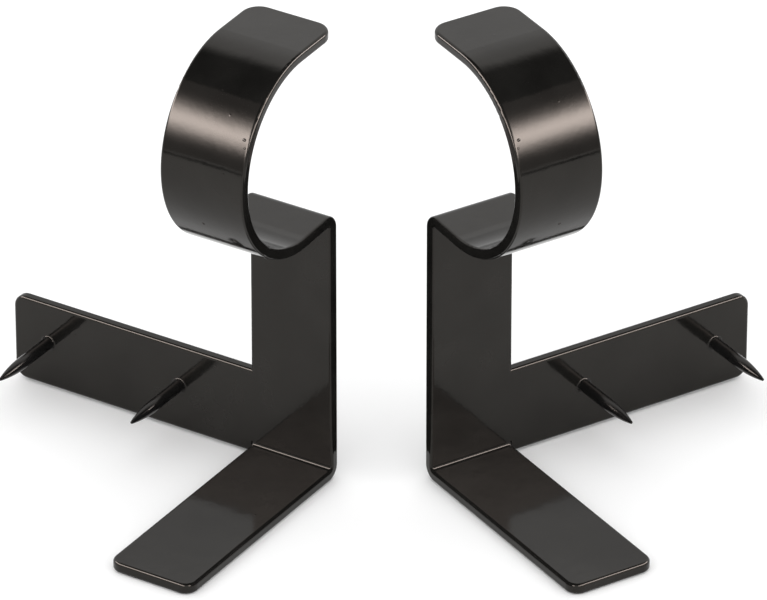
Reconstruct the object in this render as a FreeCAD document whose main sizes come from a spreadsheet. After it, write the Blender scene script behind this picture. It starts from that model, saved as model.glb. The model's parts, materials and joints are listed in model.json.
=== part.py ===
"""A handed pair of tap-in curtain rod brackets, in millimetres.

Each bracket is one bent strap of flat steel with two spikes. In the bracket's own axes the upright's front
face is Y = 0 and its outer edge is X = 0, the arm runs towards -X, and the foot, the spikes and the cradle
point towards -Y. The pair stands on its feet on Z = 0 and is mirrored in X = 0.
"""
import FreeCAD, Part
import math
import os
import Sketcher

NODES_FOLDER = "parts"
TOLERANCE = 1e-4
START, END, CENTRE = 1, 2, 3
ROOT, H_AXIS, V_AXIS = -1, -1, -2

SIZES = {
    "strap_width": 25.0,
    "strap_thickness": 3.0,
    "edge_round": 0.9,
    "bend_radius": 1.0,
    "foot_length": 67.5,
    "foot_corner": 3.5,
    "upright_top": 74.6,
    "seat_slope": 3.0,
    "seat_length": 10.0,
    "cradle_radius": 25.6,
    "lip_slope": 1.5,
    "lip_length": 15.8,
    "lip_corner": 5.0,
    "arm_length": 99.5,
    "arm_rise": 0.6,
    "arm_corner": 3.5,
    "arm_tongue": 2.7,
    "spike_from_end": 10.8,
    "spike_pitch": 41.3,
    "spike_level": 13.8,
    "spike_diameter": 3.3,
    "spike_reach": 22.5,
    "point_length": 10.5,
    "point_diameter": 0.7,
    "head_diameter": 6.2,
    "root_step": 0.25,
    "weld_size": 0.5,
    "heading": 32.0,
    "upright_from_middle": 12.8,
}

# A spike's root is thicker than its shank. It stands in a wider hole, and the weld fills the ring between.
ROOT_RADIUS = "(Sizes.spike_diameter / 2 + Sizes.root_step)"
HOLE_RADIUS = "(Sizes.spike_diameter / 2 + Sizes.root_step + Sizes.weld_size)"
# Where the bracket's own origin stands, so that the pair is centred on X = 0 and on Y = 0.
PLACE_X = "-Sizes.upright_from_middle"
BACK_CORNER = (
    "((Sizes.arm_length - Sizes.edge_round) * sin(Sizes.heading * 1deg)"
    " + (Sizes.strap_thickness - Sizes.edge_round) * cos(Sizes.heading * 1deg) + Sizes.edge_round)"
)
FRONT_CORNER = (
    "(Sizes.foot_corner * (sin(Sizes.heading * 1deg) + cos(Sizes.heading * 1deg) - 1)"
    " - Sizes.foot_length * cos(Sizes.heading * 1deg))"
)
PLACE_Y = f"-({BACK_CORNER} + {FRONT_CORNER}) / 2"

doc = FreeCAD.newDocument("curtain_rod_brackets")


def make_sheet():
    """The driving dimensions, one to a row, each with its name as its alias."""
    sheet = doc.addObject("Spreadsheet::Sheet", "Sizes")
    for row, (name, value) in enumerate(SIZES.items(), start=1):
        sheet.set(f"A{row}", name)
        sheet.set(f"B{row}", str(value))
        sheet.setAlias(f"B{row}", name)
    doc.recompute()
    return sheet


def origin_plane(body, role):
    """One of the body's own origin planes."""
    return next(item for item in body.Origin.OriginFeatures if item.Role == role)


def new_sketch(body, name, role):
    """A sketch on one of the body's own origin planes."""
    sketch = body.newObject("Sketcher::SketchObject", name)
    sketch.AttachmentSupport = (origin_plane(body, role), [""])
    sketch.MapMode = "FlatFace"
    return sketch


def add_line(sketch, start, end):
    """A straight edge between two (x, y) points."""
    return sketch.addGeometry(Part.LineSegment(FreeCAD.Vector(*start, 0), FreeCAD.Vector(*end, 0)), False)


def add_arc(sketch, centre, radius, first, last):
    """An arc from the angle first counter-clockwise to the angle last, in degrees."""
    circle = Part.Circle(FreeCAD.Vector(*centre, 0), FreeCAD.Vector(0, 0, 1), radius)
    arc = Part.ArcOfCircle(circle, math.radians(first), math.radians(last))
    return sketch.addGeometry(arc, False)


def bind(sketch, kind, parts, value, expression):
    """A dimension of the sketch that follows the sheet."""
    index = sketch.addConstraint(Sketcher.Constraint(kind, *parts, value))
    sketch.setExpression(f"Constraints[{index}]", expression)


def fix(sketch, kind, *parts):
    """A constraint with no size."""
    sketch.addConstraint(Sketcher.Constraint(kind, *parts))


def polar(centre, radius, angle):
    """The point at this angle, in degrees, on a circle."""
    turn = math.radians(angle)
    return centre[0] + radius * math.cos(turn), centre[1] + radius * math.sin(turn)


def draw_bar(sketch, size):
    """The bar's side view in Y and Z: foot, upright, seat, cradle and lip, each with its two faces.

    The front face is the foot's top, the upright's front and the cradle's outside. The back face is the
    other side of the same strip, and shares the centre of every bend with it.
    """
    thick = size["strap_thickness"]
    bend, cradle = size["bend_radius"], size["cradle_radius"]
    seat, lip = size["seat_slope"], size["lip_slope"]
    low = (-bend, bend + thick)
    high = (-bend, size["upright_top"])
    seat_start = polar(high, bend, 90 + seat)
    seat_end = (
        seat_start[0] - size["seat_length"] * math.cos(math.radians(seat)),
        seat_start[1] - size["seat_length"] * math.sin(math.radians(seat)),
    )
    hook = polar(seat_end, cradle + thick, 90 + seat)
    lip_reach = (
        size["lip_length"] * math.cos(math.radians(lip)),
        size["lip_length"] * math.sin(math.radians(lip)),
    )
    faces = []
    for small, large in ((bend, cradle + thick), (bend + thick, cradle)):
        foot = add_line(sketch, (-size["foot_length"], low[1] - small), (low[0], low[1] - small))
        first_bend = add_arc(sketch, low, small, 270, 360)
        upright = add_line(sketch, (low[0] + small, low[1]), (high[0] + small, high[1]))
        second_bend = add_arc(sketch, high, small, 0, 90 + seat)
        seat_line = add_line(sketch, polar(hook, large, 270 + seat), polar(high, small, 90 + seat))
        hook_arc = add_arc(sketch, hook, large, 90 + lip, 270 + seat)
        top = polar(hook, large, 90 + lip)
        lip_line = add_line(sketch, top, (top[0] + lip_reach[0], top[1] + lip_reach[1]))
        faces.append((foot, first_bend, upright, second_bend, seat_line, hook_arc, lip_line))
        joints = (
            (foot, END, first_bend, START),
            (first_bend, END, upright, START),
            (upright, END, second_bend, START),
            (second_bend, END, seat_line, END),
            (seat_line, START, hook_arc, END),
            (hook_arc, START, lip_line, START),
        )
        for joint in joints:
            fix(sketch, "Tangent", *joint)
        fix(sketch, "Horizontal", foot)
    front, back = faces
    for bend_at in (1, 3, 5):
        fix(sketch, "Coincident", front[bend_at], CENTRE, back[bend_at], CENTRE)
    ends = []
    for strip_at, side in ((0, START), (6, END)):
        points = [sketch.getPoint(face[strip_at], side) for face in faces]
        cap = add_line(sketch, (points[0].x, points[0].y), (points[1].x, points[1].y))
        fix(sketch, "Coincident", cap, START, front[strip_at], side)
        fix(sketch, "Coincident", cap, END, back[strip_at], side)
        ends.append(cap)
    fix(sketch, "Vertical", ends[0])
    fix(sketch, "Perpendicular", ends[1], front[6])
    fix(sketch, "Parallel", front[6], back[6])
    fix(sketch, "PointOnObject", back[0], START, H_AXIS)
    fix(sketch, "PointOnObject", front[2], START, V_AXIS)
    fix(sketch, "Vertical", front[2])
    bind(sketch, "Radius", (front[1],), bend, "Sizes.bend_radius")
    bind(sketch, "Radius", (back[1],), bend + thick, "Sizes.bend_radius + Sizes.strap_thickness")
    bind(sketch, "Radius", (front[3],), bend, "Sizes.bend_radius")
    bind(sketch, "Radius", (back[3],), bend + thick, "Sizes.bend_radius + Sizes.strap_thickness")
    bind(sketch, "Radius", (back[5],), cradle, "Sizes.cradle_radius")
    bind(sketch, "Radius", (front[5],), cradle + thick, "Sizes.cradle_radius + Sizes.strap_thickness")
    bind(sketch, "DistanceX", (back[0], START, ROOT, START), size["foot_length"], "Sizes.foot_length")
    bind(sketch, "DistanceY", (ROOT, START, front[3], CENTRE), size["upright_top"], "Sizes.upright_top")
    bind(sketch, "Angle", (front[4],), math.radians(seat), "Sizes.seat_slope * 1deg")
    bind(sketch, "Distance", (front[4],), size["seat_length"], "Sizes.seat_length")
    bind(sketch, "Angle", (front[6],), math.radians(lip), "Sizes.lip_slope * 1deg")
    bind(sketch, "Distance", (front[6],), size["lip_length"], "Sizes.lip_length")


def is_end_face(face, size):
    """Whether the face is the square-cut end of the strip."""
    end_area = size["strap_width"] * size["strap_thickness"]
    flat = isinstance(face.Surface, Part.Plane)
    return flat and abs(face.normalAt(0, 0).x) < 0.5 and face.Area < 1.01 * end_area


def end_corner_edges(shape, size, at_foot):
    """The two short edges, across the strip's thickness, at one end of it."""
    names = []
    for number, edge in enumerate(shape.Edges, start=1):
        faces = shape.ancestorsOfType(edge, Part.Face)
        across = abs(edge.Vertexes[0].X - edge.Vertexes[-1].X) < TOLERANCE
        touches_end = any(is_end_face(face, size) for face in faces)
        if across and touches_end and (edge.CenterOfMass.z < size["upright_top"]) == at_foot:
            names.append(f"Edge{number}")
    return names


def is_rim_face(face, size):
    """Whether the face is part of the strip's narrow rim: its sides, its ends and their corners."""
    if isinstance(face.Surface, Part.Cylinder):
        return abs(face.Surface.Axis.x) < 0.5
    return abs(face.normalAt(0, 0).x) > 0.5 or is_end_face(face, size)


def rim_edges(shape, size):
    """The edges where the strip's two broad faces meet its rim."""
    names = []
    for number, edge in enumerate(shape.Edges, start=1):
        rims = [is_rim_face(face, size) for face in shape.ancestorsOfType(edge, Part.Face)]
        if sorted(rims) == [False, True]:
            names.append(f"Edge{number}")
    return names


def add_fillet(body, name, base, edges, expression):
    """A fillet along the named edges, with a radius from the sheet."""
    fillet = body.newObject("PartDesign::Fillet", name)
    fillet.Base = (base, edges)
    fillet.setExpression("Radius", expression)
    doc.recompute()
    return fillet


def make_bar(size):
    """The bent strip with no arm: foot, upright, seat, cradle and lip."""
    body = doc.addObject("PartDesign::Body", "Bar")
    sketch = new_sketch(body, "BarSide", "YZ_Plane")
    draw_bar(sketch, size)
    pad = body.newObject("PartDesign::Pad", "BarWidth")
    pad.Profile = sketch
    pad.setExpression("Length", "Sizes.strap_width")
    pad.Reversed = True
    doc.recompute()
    foot_edges = end_corner_edges(pad.Shape, size, True)
    foot = add_fillet(body, "FootCorners", pad, foot_edges, "Sizes.foot_corner")
    lip_edges = end_corner_edges(foot.Shape, size, False)
    lip = add_fillet(body, "LipCorners", foot, lip_edges, "Sizes.lip_corner")
    add_fillet(body, "BarEdges", lip, rim_edges(lip.Shape, size), "Sizes.edge_round")
    return body


def draw_arm(sketch, size):
    """The arm's front view in X and Z, with its rounded end.

    A tongue runs into the upright, past its rounded edge, so that the two are one piece.
    """
    width, length, corner = size["strap_width"], size["arm_length"], size["arm_corner"]
    low, high = size["arm_rise"], size["arm_rise"] + width
    step = size["bend_radius"] + size["strap_thickness"]
    tongue = size["arm_tongue"] - width
    bottom = add_line(sketch, (corner - length, low), (-width, low))
    notch = add_line(sketch, (-width, low), (-width, step))
    shelf = add_line(sketch, (-width, step), (tongue, step))
    root = add_line(sketch, (tongue, step), (tongue, high))
    top = add_line(sketch, (tongue, high), (corner - length, high))
    upper = add_arc(sketch, (corner - length, high - corner), corner, 90, 180)
    end = add_line(sketch, (-length, high - corner), (-length, low + corner))
    lower = add_arc(sketch, (corner - length, low + corner), corner, 180, 270)
    straight = (bottom, notch, shelf, root, top)
    for before, after in zip(straight, straight[1:]):
        fix(sketch, "Coincident", before, END, after, START)
    fix(sketch, "Tangent", top, END, upper, START)
    fix(sketch, "Tangent", upper, END, end, START)
    fix(sketch, "Tangent", end, END, lower, START)
    fix(sketch, "Tangent", lower, END, bottom, START)
    for level in (bottom, shelf, top):
        fix(sketch, "Horizontal", level)
    for plumb in (notch, root, end):
        fix(sketch, "Vertical", plumb)
    fix(sketch, "Equal", upper, lower)
    bind(sketch, "Radius", (upper,), corner, "Sizes.arm_corner")
    bind(sketch, "DistanceX", (end, START, ROOT, START), length, "Sizes.arm_length")
    bind(sketch, "DistanceX", (notch, START, ROOT, START), width, "Sizes.strap_width")
    bind(sketch, "DistanceX", (notch, START, root, START), size["arm_tongue"], "Sizes.arm_tongue")
    bind(sketch, "DistanceY", (ROOT, START, bottom, START), low, "Sizes.arm_rise")
    bind(
        sketch, "DistanceY", (ROOT, START, shelf, START), step,
        "Sizes.bend_radius + Sizes.strap_thickness",
    )
    bind(sketch, "DistanceY", (bottom, START, top, END), width, "Sizes.strap_width")


def arm_edges(shape, size):
    """The arm's long edges and the edges round its free end, on both broad faces."""
    names = []
    for number, edge in enumerate(shape.Edges, start=1):
        centre = edge.CenterOfMass
        on_face = min(abs(centre.y), abs(centre.y - size["strap_thickness"])) < TOLERANCE
        if on_face and centre.x < -size["strap_width"] - TOLERANCE:
            names.append(f"Edge{number}")
    return names


def make_arm(size):
    """The arm, a flat bar in the plane of the upright."""
    body = doc.addObject("PartDesign::Body", "Arm")
    sketch = new_sketch(body, "ArmFront", "XZ_Plane")
    draw_arm(sketch, size)
    pad = body.newObject("PartDesign::Pad", "ArmThickness")
    pad.Profile = sketch
    pad.setExpression("Length", "Sizes.strap_thickness")
    pad.Reversed = True
    doc.recompute()
    add_fillet(body, "ArmEdges", pad, arm_edges(pad.Shape, size), "Sizes.edge_round")
    return body


def spike_x(place):
    """The spike's distance along X in the bracket's own axes, as an expression."""
    return {
        "outer": "(Sizes.spike_from_end - Sizes.arm_length)",
        "inner": "(Sizes.spike_from_end + Sizes.spike_pitch - Sizes.arm_length)",
    }[place]


def make_hole(place):
    """What is taken out of the arm for one spike: its root's hole and its head's countersink."""
    hole = doc.addObject("Part::Cylinder", f"Hole_{place}")
    hole.setExpression("Radius", HOLE_RADIUS)
    hole.setExpression("Height", "3 * Sizes.strap_thickness")
    sink = doc.addObject("Part::Cone", f"Sink_{place}")
    sink.Radius1 = 0
    sink.setExpression("Radius2", "Sizes.head_diameter / 2")
    sink.setExpression("Height", "Sizes.head_diameter / 2")
    for tool in (hole, sink):
        tool.Placement.Rotation = FreeCAD.Rotation(FreeCAD.Vector(1, 0, 0), -90)
        tool.setExpression("Placement.Base.x", spike_x(place))
        tool.setExpression("Placement.Base.z", "Sizes.spike_level")
    hole.setExpression("Placement.Base.y", "-Sizes.strap_thickness")
    sink.setExpression("Placement.Base.y", "Sizes.strap_thickness - Sizes.head_diameter / 2")
    return [hole, sink]


def stand(obj, along="0"):
    """Turns and moves a piece from the bracket's own axes to where the left bracket stands."""
    obj.Placement.Rotation = FreeCAD.Rotation(FreeCAD.Vector(0, 0, -1), SIZES["heading"])
    obj.setExpression("Placement.Rotation.Angle", "Sizes.heading * 1deg")
    obj.setExpression("Placement.Base.x", f"{PLACE_X} + {along} * cos(Sizes.heading * 1deg)")
    obj.setExpression("Placement.Base.y", f"{PLACE_Y} - {along} * sin(Sizes.heading * 1deg)")


def make_strap(size):
    """The left bracket's strap: bar and arm in one piece, with the holes for the spikes."""
    whole = doc.addObject("Part::Fuse", "Blank")
    whole.Base = make_bar(size)
    whole.Tool = make_arm(size)
    whole.Refine = True
    holes = doc.addObject("Part::MultiFuse", "Holes")
    holes.Shapes = make_hole("outer") + make_hole("inner")
    strap = doc.addObject("Part::Cut", "Strap")
    strap.Label = "left_strap"
    strap.Base = whole
    strap.Tool = holes
    stand(strap)
    doc.recompute()
    return strap


def draw_spike(sketch, size):
    """Half of the spike's outline: X is the radius and the point is at -Y."""
    shank, head, tip = size["spike_diameter"] / 2, size["head_diameter"] / 2, size["point_diameter"] / 2
    thick, reach, point = size["strap_thickness"], size["spike_reach"], size["point_length"]
    root, step = shank + size["root_step"], -size["weld_size"]
    curve = ((shank - tip) ** 2 + point**2) / (2 * (shank - tip))
    shoulder = point - reach
    sweep = math.degrees(math.asin(point / curve))
    face = add_line(sketch, (0, thick), (head, thick))
    cone = add_line(sketch, (head, thick), (root, thick - head + root))
    stem = add_line(sketch, (root, thick - head + root), (root, step))
    ledge = add_line(sketch, (root, step), (shank, step))
    side = add_line(sketch, (shank, step), (shank, shoulder))
    ogive = add_arc(sketch, (shank - curve, shoulder), curve, -sweep, 0)
    nose = add_line(sketch, (tip, -reach), (0, -reach))
    axis = add_line(sketch, (0, -reach), (0, thick))
    chain = (nose, axis, face, cone, stem, ledge, side)
    for before, after in zip(chain, chain[1:]):
        fix(sketch, "Coincident", before, END, after, START)
    fix(sketch, "Tangent", side, END, ogive, END)
    fix(sketch, "Coincident", ogive, START, nose, START)
    for level in (face, ledge, nose):
        fix(sketch, "Horizontal", level)
    for plumb in (stem, side):
        fix(sketch, "Vertical", plumb)
    fix(sketch, "PointOnObject", axis, START, V_AXIS)
    fix(sketch, "PointOnObject", axis, END, V_AXIS)
    bind(
        sketch, "DistanceY", (cone, END, cone, START), head - root,
        f"Sizes.head_diameter / 2 - {ROOT_RADIUS}",
    )
    bind(sketch, "Distance", (face,), head, "Sizes.head_diameter / 2")
    bind(sketch, "DistanceX", (ROOT, START, stem, START), root, ROOT_RADIUS)
    bind(sketch, "DistanceX", (ROOT, START, side, START), shank, "Sizes.spike_diameter / 2")
    bind(sketch, "Distance", (nose,), tip, "Sizes.point_diameter / 2")
    bind(sketch, "DistanceY", (ROOT, START, axis, END), thick, "Sizes.strap_thickness")
    bind(sketch, "DistanceY", (stem, END, ROOT, START), -step, "Sizes.weld_size")
    bind(sketch, "DistanceY", (axis, START, ROOT, START), reach, "Sizes.spike_reach")
    bind(sketch, "DistanceY", (ogive, START, ogive, END), point, "Sizes.point_length")


def draw_weld(sketch, size):
    """Half of the weld's outline: it fills the hole round the spike's root and ends in a hollow fillet."""
    root = size["spike_diameter"] / 2 + size["root_step"]
    leg, hole = size["weld_size"], root + size["weld_size"]
    under_head = size["strap_thickness"] - size["head_diameter"] / 2
    inside = add_line(sketch, (root, -leg), (root, under_head + root))
    slope = add_line(sketch, (root, under_head + root), (hole, under_head + hole))
    outside = add_line(sketch, (hole, under_head + hole), (hole, 0))
    hollow = add_arc(sketch, (hole, -leg), leg, 90, 180)
    fix(sketch, "Coincident", inside, END, slope, START)
    fix(sketch, "Coincident", slope, END, outside, START)
    fix(sketch, "Coincident", outside, END, hollow, START)
    fix(sketch, "Coincident", hollow, END, inside, START)
    fix(sketch, "PointOnObject", hollow, START, H_AXIS)
    fix(sketch, "Vertical", inside)
    fix(sketch, "Vertical", outside)
    fix(sketch, "PointOnObject", hollow, CENTRE, outside)
    bind(sketch, "Radius", (hollow,), leg, "Sizes.weld_size")
    bind(sketch, "DistanceX", (ROOT, START, inside, START), root, ROOT_RADIUS)
    bind(sketch, "DistanceY", (inside, START, ROOT, START), leg, "Sizes.weld_size")
    bind(
        sketch, "DistanceY", (ROOT, START, inside, END), under_head + root,
        f"Sizes.strap_thickness - Sizes.head_diameter / 2 + {ROOT_RADIUS}",
    )
    bind(
        sketch, "DistanceY", (ROOT, START, outside, START), under_head + hole,
        f"Sizes.strap_thickness - Sizes.head_diameter / 2 + {HOLE_RADIUS}",
    )


def make_round(name, place, draw, size):
    """A turned piece of the left bracket, on the axis of one of its spikes."""
    body = doc.addObject("PartDesign::Body", f"{name}_{place}")
    body.Label = f"left_{place}_{name}"
    sketch = new_sketch(body, f"{name}_{place}_outline", "XY_Plane")
    draw(sketch, size)
    turned = body.newObject("PartDesign::Revolution", f"{name}_{place}_turned")
    turned.Profile = sketch
    turned.ReferenceAxis = (sketch, ["V_Axis"])
    turned.Angle = 360
    stand(body, spike_x(place))
    body.setExpression("Placement.Base.z", "Sizes.spike_level")
    doc.recompute()
    return body


def make_mirrored(left):
    """The right bracket's copy of a piece of the left one."""
    right = doc.addObject("Part::Mirroring", f"{left.Name}_right")
    right.Label = left.Label.replace("left_", "right_")
    right.Source = left
    right.Base = FreeCAD.Vector(0, 0, 0)
    right.Normal = FreeCAD.Vector(1, 0, 0)
    return right


def check_and_write(nodes):
    """Stops if any object failed, and writes each piece's shape under its own name."""
    doc.recompute()
    failed = [obj.Name for obj in doc.Objects if {"Invalid", "Error"} & set(obj.State)]
    broken = [node.Label for node in nodes if node.Shape.isNull() or not node.Shape.isValid()]
    if failed or broken:
        raise RuntimeError(f"failed objects {failed}, broken shapes {broken}")
    os.makedirs(NODES_FOLDER, exist_ok=True)
    for node in nodes:
        box = node.Shape.BoundBox
        spans = ((box.XMin, box.XMax), (box.YMin, box.YMax), (box.ZMin, box.ZMax))
        print(node.Label, len(node.Shape.Solids), "solid", round(node.Shape.Volume, 1), "mm3",
              " ".join(f"{low:.2f}..{high:.2f}" for low, high in spans))
        node.Shape.exportStep(f"{NODES_FOLDER}/{node.Label}.step")


def main():
    sheet = make_sheet()
    size = {name: float(sheet.get(name)) for name in SIZES}
    left = [make_strap(size)]
    for place in ("outer", "inner"):
        left.append(make_round("spike", place, draw_spike, size))
        left.append(make_round("weld", place, draw_weld, size))
    check_and_write(left + [make_mirrored(piece) for piece in left])


main()
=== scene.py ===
"""A handed pair of glossy black curtain rod brackets, standing on their feet in a white studio.

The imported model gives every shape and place. This script adds the coating, a few beads where the coat has
gathered, the floor, the lights and the camera. Lengths are in metres where nothing else is said.
"""
import bmesh
import bpy
import json
import math
from mathutils import Matrix, Vector


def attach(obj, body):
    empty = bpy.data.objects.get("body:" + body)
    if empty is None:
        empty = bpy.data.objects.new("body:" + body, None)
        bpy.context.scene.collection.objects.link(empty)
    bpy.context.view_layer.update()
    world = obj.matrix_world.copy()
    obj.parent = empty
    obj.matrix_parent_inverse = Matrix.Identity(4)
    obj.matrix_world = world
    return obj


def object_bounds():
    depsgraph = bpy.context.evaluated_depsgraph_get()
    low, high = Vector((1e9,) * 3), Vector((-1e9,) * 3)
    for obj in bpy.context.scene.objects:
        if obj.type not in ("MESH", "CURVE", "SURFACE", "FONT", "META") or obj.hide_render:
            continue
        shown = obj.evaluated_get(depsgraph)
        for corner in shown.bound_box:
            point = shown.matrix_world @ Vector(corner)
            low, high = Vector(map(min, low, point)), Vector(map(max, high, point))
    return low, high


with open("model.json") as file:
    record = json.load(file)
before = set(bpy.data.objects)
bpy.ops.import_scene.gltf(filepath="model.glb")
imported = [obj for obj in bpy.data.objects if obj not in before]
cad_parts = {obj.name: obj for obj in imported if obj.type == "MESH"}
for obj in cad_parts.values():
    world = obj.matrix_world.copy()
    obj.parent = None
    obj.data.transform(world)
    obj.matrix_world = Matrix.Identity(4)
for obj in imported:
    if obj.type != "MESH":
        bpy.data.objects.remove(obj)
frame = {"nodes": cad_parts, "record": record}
cad_low, cad_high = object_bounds()
MM = 0.001
MIDDLE = (cad_low + cad_high) / 2
MOUNTS = {mount["name"]: mount for mount in frame["record"]["mounts"]}
CRADLES = {side: Vector(MOUNTS[f"{side}_rod_cradle"]["pos_m"]) for side in ("left", "right")}

COAT_IOR = 1.34
COAT_TINT = (1.0, 0.93, 0.85)
SWELL_HEIGHT = 0.08 * MM
# A speck's radius, as a share of the distance between specks.
SPECK_SHARE = 0.07


def add_node(tree, kind, **inputs):
    """A node with some of its sockets set. An underscore in a name stands for a space."""
    node = tree.nodes.new(kind)
    for name, value in inputs.items():
        node.inputs[name.replace("_", " ")].default_value = value
    return node


def link(tree, start, out, end, into):
    tree.links.new(start.outputs[out], end.inputs[into])


def noise(tree, place, scale, detail, span=(0.0, 1.0), result=(0.0, 1.0)):
    """A noise field whose span becomes the result."""
    field = add_node(tree, "ShaderNodeTexNoise", Scale=scale, Detail=detail)
    link(tree, place, "Object", field, "Vector")
    level = add_node(
        tree, "ShaderNodeMapRange",
        From_Min=span[0], From_Max=span[1], To_Min=result[0], To_Max=result[1],
    )
    link(tree, field, "Fac", level, "Value")
    return level


def relief(tree, field, height, below=None):
    """A field raised by up to height, on top of the relief below."""
    bump = add_node(tree, "ShaderNodeBump", Strength=1.0, Distance=height)
    link(tree, field, "Result", bump, "Height")
    if below:
        link(tree, below, "Normal", bump, "Normal")
    return bump


def coating(name, base, rough, peel_height, speck_height):
    """A gloss black powder coat: a slow swell, orange peel, buried specks, and patches less shiny."""
    mat = bpy.data.materials.new(name)
    mat.use_nodes = True
    tree = mat.node_tree
    shader = tree.nodes["Principled BSDF"]
    shader.inputs["IOR"].default_value = COAT_IOR
    shader.inputs["Specular Tint"].default_value = (*COAT_TINT, 1)
    place = tree.nodes.new("ShaderNodeTexCoord")

    shade = tree.nodes.new("ShaderNodeValToRGB")
    shade.color_ramp.elements[0].color = (*[0.7 * c for c in base], 1)
    shade.color_ramp.elements[1].color = (*[1.3 * c for c in base], 1)
    tone = noise(tree, place, 70.0, 4.0, span=(0.3, 0.7))
    link(tree, tone, "Result", shade, "Fac")
    link(tree, shade, "Color", shader, "Base Color")

    patches = noise(tree, place, 55.0, 5.0, span=(0.35, 0.75), result=(rough, 1.8 * rough))
    link(tree, patches, "Result", shader, "Roughness")

    specks = add_node(tree, "ShaderNodeTexVoronoi", Scale=170.0, Randomness=1.0)
    link(tree, place, "Object", specks, "Vector")
    dots = add_node(
        tree, "ShaderNodeMapRange", From_Min=0.0, From_Max=SPECK_SHARE, To_Min=1.0, To_Max=0.0
    )
    dots.interpolation_type = "SMOOTHSTEP"
    link(tree, specks, "Distance", dots, "Value")

    swell = relief(tree, noise(tree, place, 65.0, 1.0), SWELL_HEIGHT)
    peel = relief(tree, noise(tree, place, 320.0, 4.0), peel_height, below=swell)
    bumps = relief(tree, dots, speck_height, below=peel)
    link(tree, bumps, "Normal", shader, "Normal")
    return mat


coats = {
    "coated_strap": coating(
        "gloss black strap coat", base=(0.0082, 0.0078, 0.0072), rough=0.075,
        peel_height=0.026 * MM, speck_height=0.03 * MM,
    ),
    "coated_spike": coating(
        "gloss black spike coat", base=(0.0060, 0.0060, 0.0060), rough=0.15,
        peel_height=0.010 * MM, speck_height=0.02 * MM,
    ),
}
for part in frame["record"]["subparts"]:
    piece = frame["nodes"][part["node"]]
    piece.data.materials.clear()
    piece.data.materials.append(coats[part["material_slot"]])

STRAP_THICKNESS = 3.0 * MM
# Where the coat has gathered in a bead on the cradle: the angle above the horizontal, in degrees, the
# distance from the strap's middle towards the pair's middle, and the bead's radius, both in millimetres.
BEADS = ((30, 10.6, 0.42), (26, 11.3, 0.28), (-27, -1.5, 0.34), (-36, 6.5, 0.40), (-58, 10.6, 0.36))
# A bead's length and rise, as shares of its radius.
BEAD_LENGTH, BEAD_RISE = 1.3, 0.5


def coat_beads(side):
    """The small beads that the coat has left on the outside of one cradle, half sunk in it."""
    cradle = MOUNTS[f"{side}_rod_cradle"]
    centre, across = CRADLES[side], Vector(cradle["axis"])
    front = Vector(MOUNTS[f"{side}_arm_face"]["axis"])
    outside = cradle["dims"]["r_mm"] * MM + STRAP_THICKNESS
    shape = bmesh.new()
    for angle, shift, radius in BEADS:
        turn = math.radians(angle)
        outward = math.cos(turn) * front + math.sin(turn) * Vector((0, 0, 1))
        place = Matrix.Translation(centre + shift * MM * across + outside * outward)
        lie = outward.to_track_quat("Z", "Y").to_matrix().to_4x4()
        squash = Matrix.Diagonal((BEAD_LENGTH * radius * MM, radius * MM, BEAD_RISE * radius * MM, 1))
        bmesh.ops.create_icosphere(shape, subdivisions=3, radius=1.0, matrix=place @ lie @ squash)
    mesh = bpy.data.meshes.new(f"{side}_coat_beads")
    shape.to_mesh(mesh)
    shape.free()
    mesh.shade_smooth()
    obj = bpy.data.objects.new(f"{side}_coat_beads", mesh)
    bpy.context.scene.collection.objects.link(obj)
    mesh.materials.append(coats["coated_strap"])
    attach(obj, "root")


coat_beads("left")
coat_beads("right")


def sheet(name, width, height, place, target):
    """A flat rectangle of the studio, centred at place and facing target."""
    x, y = width / 2, height / 2
    mesh = bpy.data.meshes.new(name)
    mesh.from_pydata([(-x, -y, 0), (x, -y, 0), (x, y, 0), (-x, y, 0)], [], [(0, 1, 2, 3)])
    obj = bpy.data.objects.new(name, mesh)
    bpy.context.scene.collection.objects.link(obj)
    turn = (Vector(target) - Vector(place)).to_track_quat("Z", "Y").to_matrix().to_4x4()
    obj.matrix_world = Matrix.Translation(Vector(place)) @ turn
    return obj


def only_reflected(obj):
    """The sheet shows in reflections alone, so that it neither lights, shades nor hides anything."""
    obj.visible_camera = False
    obj.visible_diffuse = False
    obj.visible_shadow = False
    obj.visible_transmission = False


def glow_material(name, colour):
    """An emission with its strength left open. Returns the material, and the distance up the sheet."""
    mat = bpy.data.materials.new(name)
    mat.use_nodes = True
    tree = mat.node_tree
    tree.nodes.clear()
    out = tree.nodes.new("ShaderNodeOutputMaterial")
    glow = add_node(tree, "ShaderNodeEmission", Color=(*colour, 1))
    link(tree, glow, "Emission", out, "Surface")
    place = tree.nodes.new("ShaderNodeTexCoord")
    split = tree.nodes.new("ShaderNodeSeparateXYZ")
    link(tree, place, "Object", split, "Vector")
    return mat, glow, split.outputs["Y"]


def calculate(tree, operation, value, *numbers):
    """One step of arithmetic on a socket."""
    step = tree.nodes.new("ShaderNodeMath")
    step.operation = operation
    tree.links.new(value, step.inputs[0])
    for number, into in zip(numbers, step.inputs[1:]):
        into.default_value = number
    return step.outputs["Value"]


def soft_band(name, colour, spread, level, peak):
    """A glow that is brightest along the sheet's middle and fades to level on both sides of it."""
    mat, glow, height = glow_material(name, colour)
    tree = mat.node_tree
    scaled = calculate(tree, "DIVIDE", height, spread)
    squared = calculate(tree, "MULTIPLY", calculate(tree, "POWER", scaled, 2.0), -0.5)
    fading = calculate(tree, "EXPONENT", squared)
    tree.links.new(calculate(tree, "MULTIPLY_ADD", fading, peak, level), glow.inputs["Strength"])
    return mat


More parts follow.
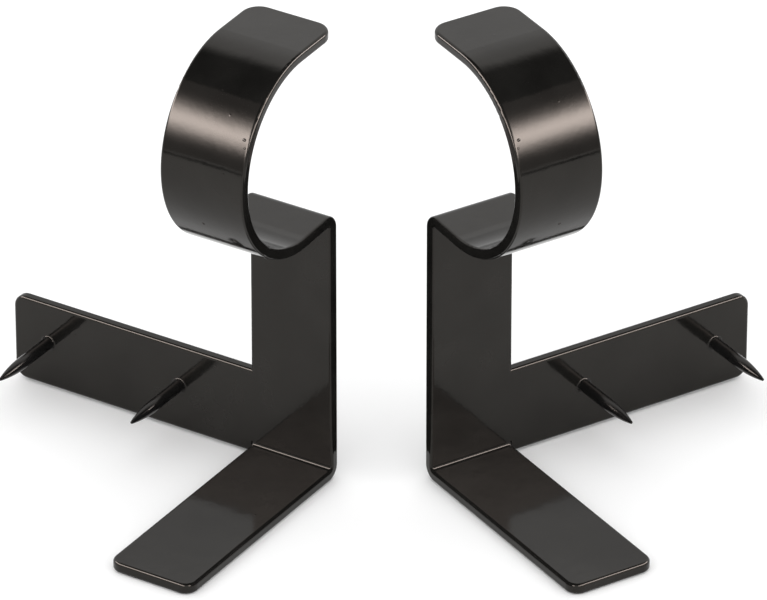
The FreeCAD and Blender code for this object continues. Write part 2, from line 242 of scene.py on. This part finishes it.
def dark_to_light(name, start, end, dark, light):
    """An even dark up to start along the sheet's height, and an even light from end on."""
    mat, glow, height = glow_material(name, (1, 1, 1))
    tree = mat.node_tree
    ramp = add_node(tree, "ShaderNodeMapRange", From_Min=start, From_Max=end, To_Min=dark, To_Max=light)
    ramp.interpolation_type = "SMOOTHSTEP"
    tree.links.new(height, ramp.inputs["Value"])
    link(tree, ramp, "Result", glow, "Strength")
    return mat


def matt(name, colour):
    mat = bpy.data.materials.new(name)
    mat.use_nodes = True
    shader = mat.node_tree.nodes["Principled BSDF"]
    shader.inputs["Base Color"].default_value = (*colour, 1)
    shader.inputs["Roughness"].default_value = 0.95
    shader.inputs["Specular IOR Level"].default_value = 0.0
    return mat


FLOOR_SIZE, FLOOR_GAP = 30.0, 0.05 * MM
floor = sheet("floor", FLOOR_SIZE, FLOOR_SIZE, (0, 0, cad_low.z - FLOOR_GAP), (0, 0, 1))
floor.data.materials.append(matt("white floor", (0.93, 0.93, 0.93)))

# The strength of the white all around.
WHITE = 1.3

# A softbox beside each cradle: how far it is turned from the front, its rise, and its distance.
SOFTBOX_TURN, SOFTBOX_RISE = math.radians(64.0), math.radians(26.0)
SOFTBOX_AWAY, SOFTBOX_WIDTH, SOFTBOX_HEIGHT = 0.345, 0.80, 0.40
SOFTBOX_COLOUR = (1.0, 0.92, 0.90)
BAND_SPREAD, BAND_LEVEL, BAND_PEAK = 0.043, 0.45, 21.5
# The softbox stands on a rail, below the cradle by this share of its distance.
RAIL_DROP, RAIL_HEIGHT = 0.10, 0.012
for side, name in ((-1, "left"), (1, "right")):
    heading = Vector((
        side * math.sin(SOFTBOX_TURN) * math.cos(SOFTBOX_RISE),
        -math.cos(SOFTBOX_TURN) * math.cos(SOFTBOX_RISE),
        math.sin(SOFTBOX_RISE),
    ))
    cradle = CRADLES[name]
    box = sheet(f"{name} softbox", SOFTBOX_WIDTH, SOFTBOX_HEIGHT, cradle + SOFTBOX_AWAY * heading, cradle)
    glow = soft_band(f"{name} softbox glow", SOFTBOX_COLOUR, BAND_SPREAD, BAND_LEVEL, BAND_PEAK)
    box.data.materials.append(glow)
    only_reflected(box)
    below = SOFTBOX_AWAY * Vector((heading.x, heading.y, -RAIL_DROP))
    rail = sheet(f"{name} rail", SOFTBOX_WIDTH, RAIL_HEIGHT, cradle + below, cradle)
    rail.data.materials.append(matt(f"{name} dark rail", (0.0, 0.0, 0.0)))
    only_reflected(rail)

# The divider keeps each bracket's inner edges from reflecting the other one's softbox.
DIVIDER_TOP = CRADLES["right"].z - 12.0 * MM
DIVIDER_LENGTH, DIVIDER_Y = 0.13, -0.045
divider = sheet("divider", DIVIDER_LENGTH, 2 * DIVIDER_TOP, (0, DIVIDER_Y, 0), (1, DIVIDER_Y, 0))
divider.data.materials.append(matt("dark divider", (0.0, 0.0, 0.0)))
only_reflected(divider)

# The ceiling is dark overhead and turns white towards the back.
CEILING_RISE = 1.1
CEILING_WIDTH, CEILING_LENGTH = 2.1 * CEILING_RISE, 2.0 * CEILING_RISE
DARK_TO, LIGHT_FROM = 0.46 * CEILING_RISE, 0.72 * CEILING_RISE
over = MIDDLE + Vector((0, 0, CEILING_RISE))
ceiling = sheet("dark ceiling", CEILING_WIDTH, CEILING_LENGTH, over, MIDDLE)
ceiling.data.materials.append(dark_to_light("dark ceiling", DARK_TO, LIGHT_FROM, 0.0, WHITE))
only_reflected(ceiling)

# A grey card stands behind, low enough that the feet reflect it and the seats reflect the white above it.
CARD_WIDTH, CARD_TOP, CARD_BEHIND = 0.60, 0.30, 0.30
GREY_TO, WHITE_FROM, GREY = 0.215, 0.24, 0.68 * WHITE
card = sheet("grey card", CARD_WIDTH, 2 * CARD_TOP, (0, CARD_BEHIND, 0), (0, 0, 0))
card.data.materials.append(dark_to_light("grey card", GREY_TO, WHITE_FROM, GREY, WHITE))
only_reflected(card)

world = bpy.data.worlds.new("studio")
bpy.context.scene.world = world
world.use_nodes = True
world.node_tree.nodes["Background"].inputs["Color"].default_value = (1.0, 1.0, 1.0, 1)
world.node_tree.nodes["Background"].inputs["Strength"].default_value = WHITE
bpy.context.scene.view_settings.view_transform = "Standard"

DISTANCE = 2.05
DOWN = math.radians(30.08)
AIM = Vector((0.0, -0.001, 0.0550))
camera = bpy.data.objects.new("camera", bpy.data.cameras.new("camera"))
bpy.context.scene.collection.objects.link(camera)
camera.data.sensor_width = 36.0
camera.data.lens = 375.5
camera.data.shift_x = 0.0026
camera.data.clip_end = 50.0
camera.rotation_euler = (math.pi / 2 - DOWN, 0, 0)
camera.location = AIM + DISTANCE * Vector((0, -math.cos(DOWN), math.sin(DOWN)))
bpy.context.scene.camera = camera
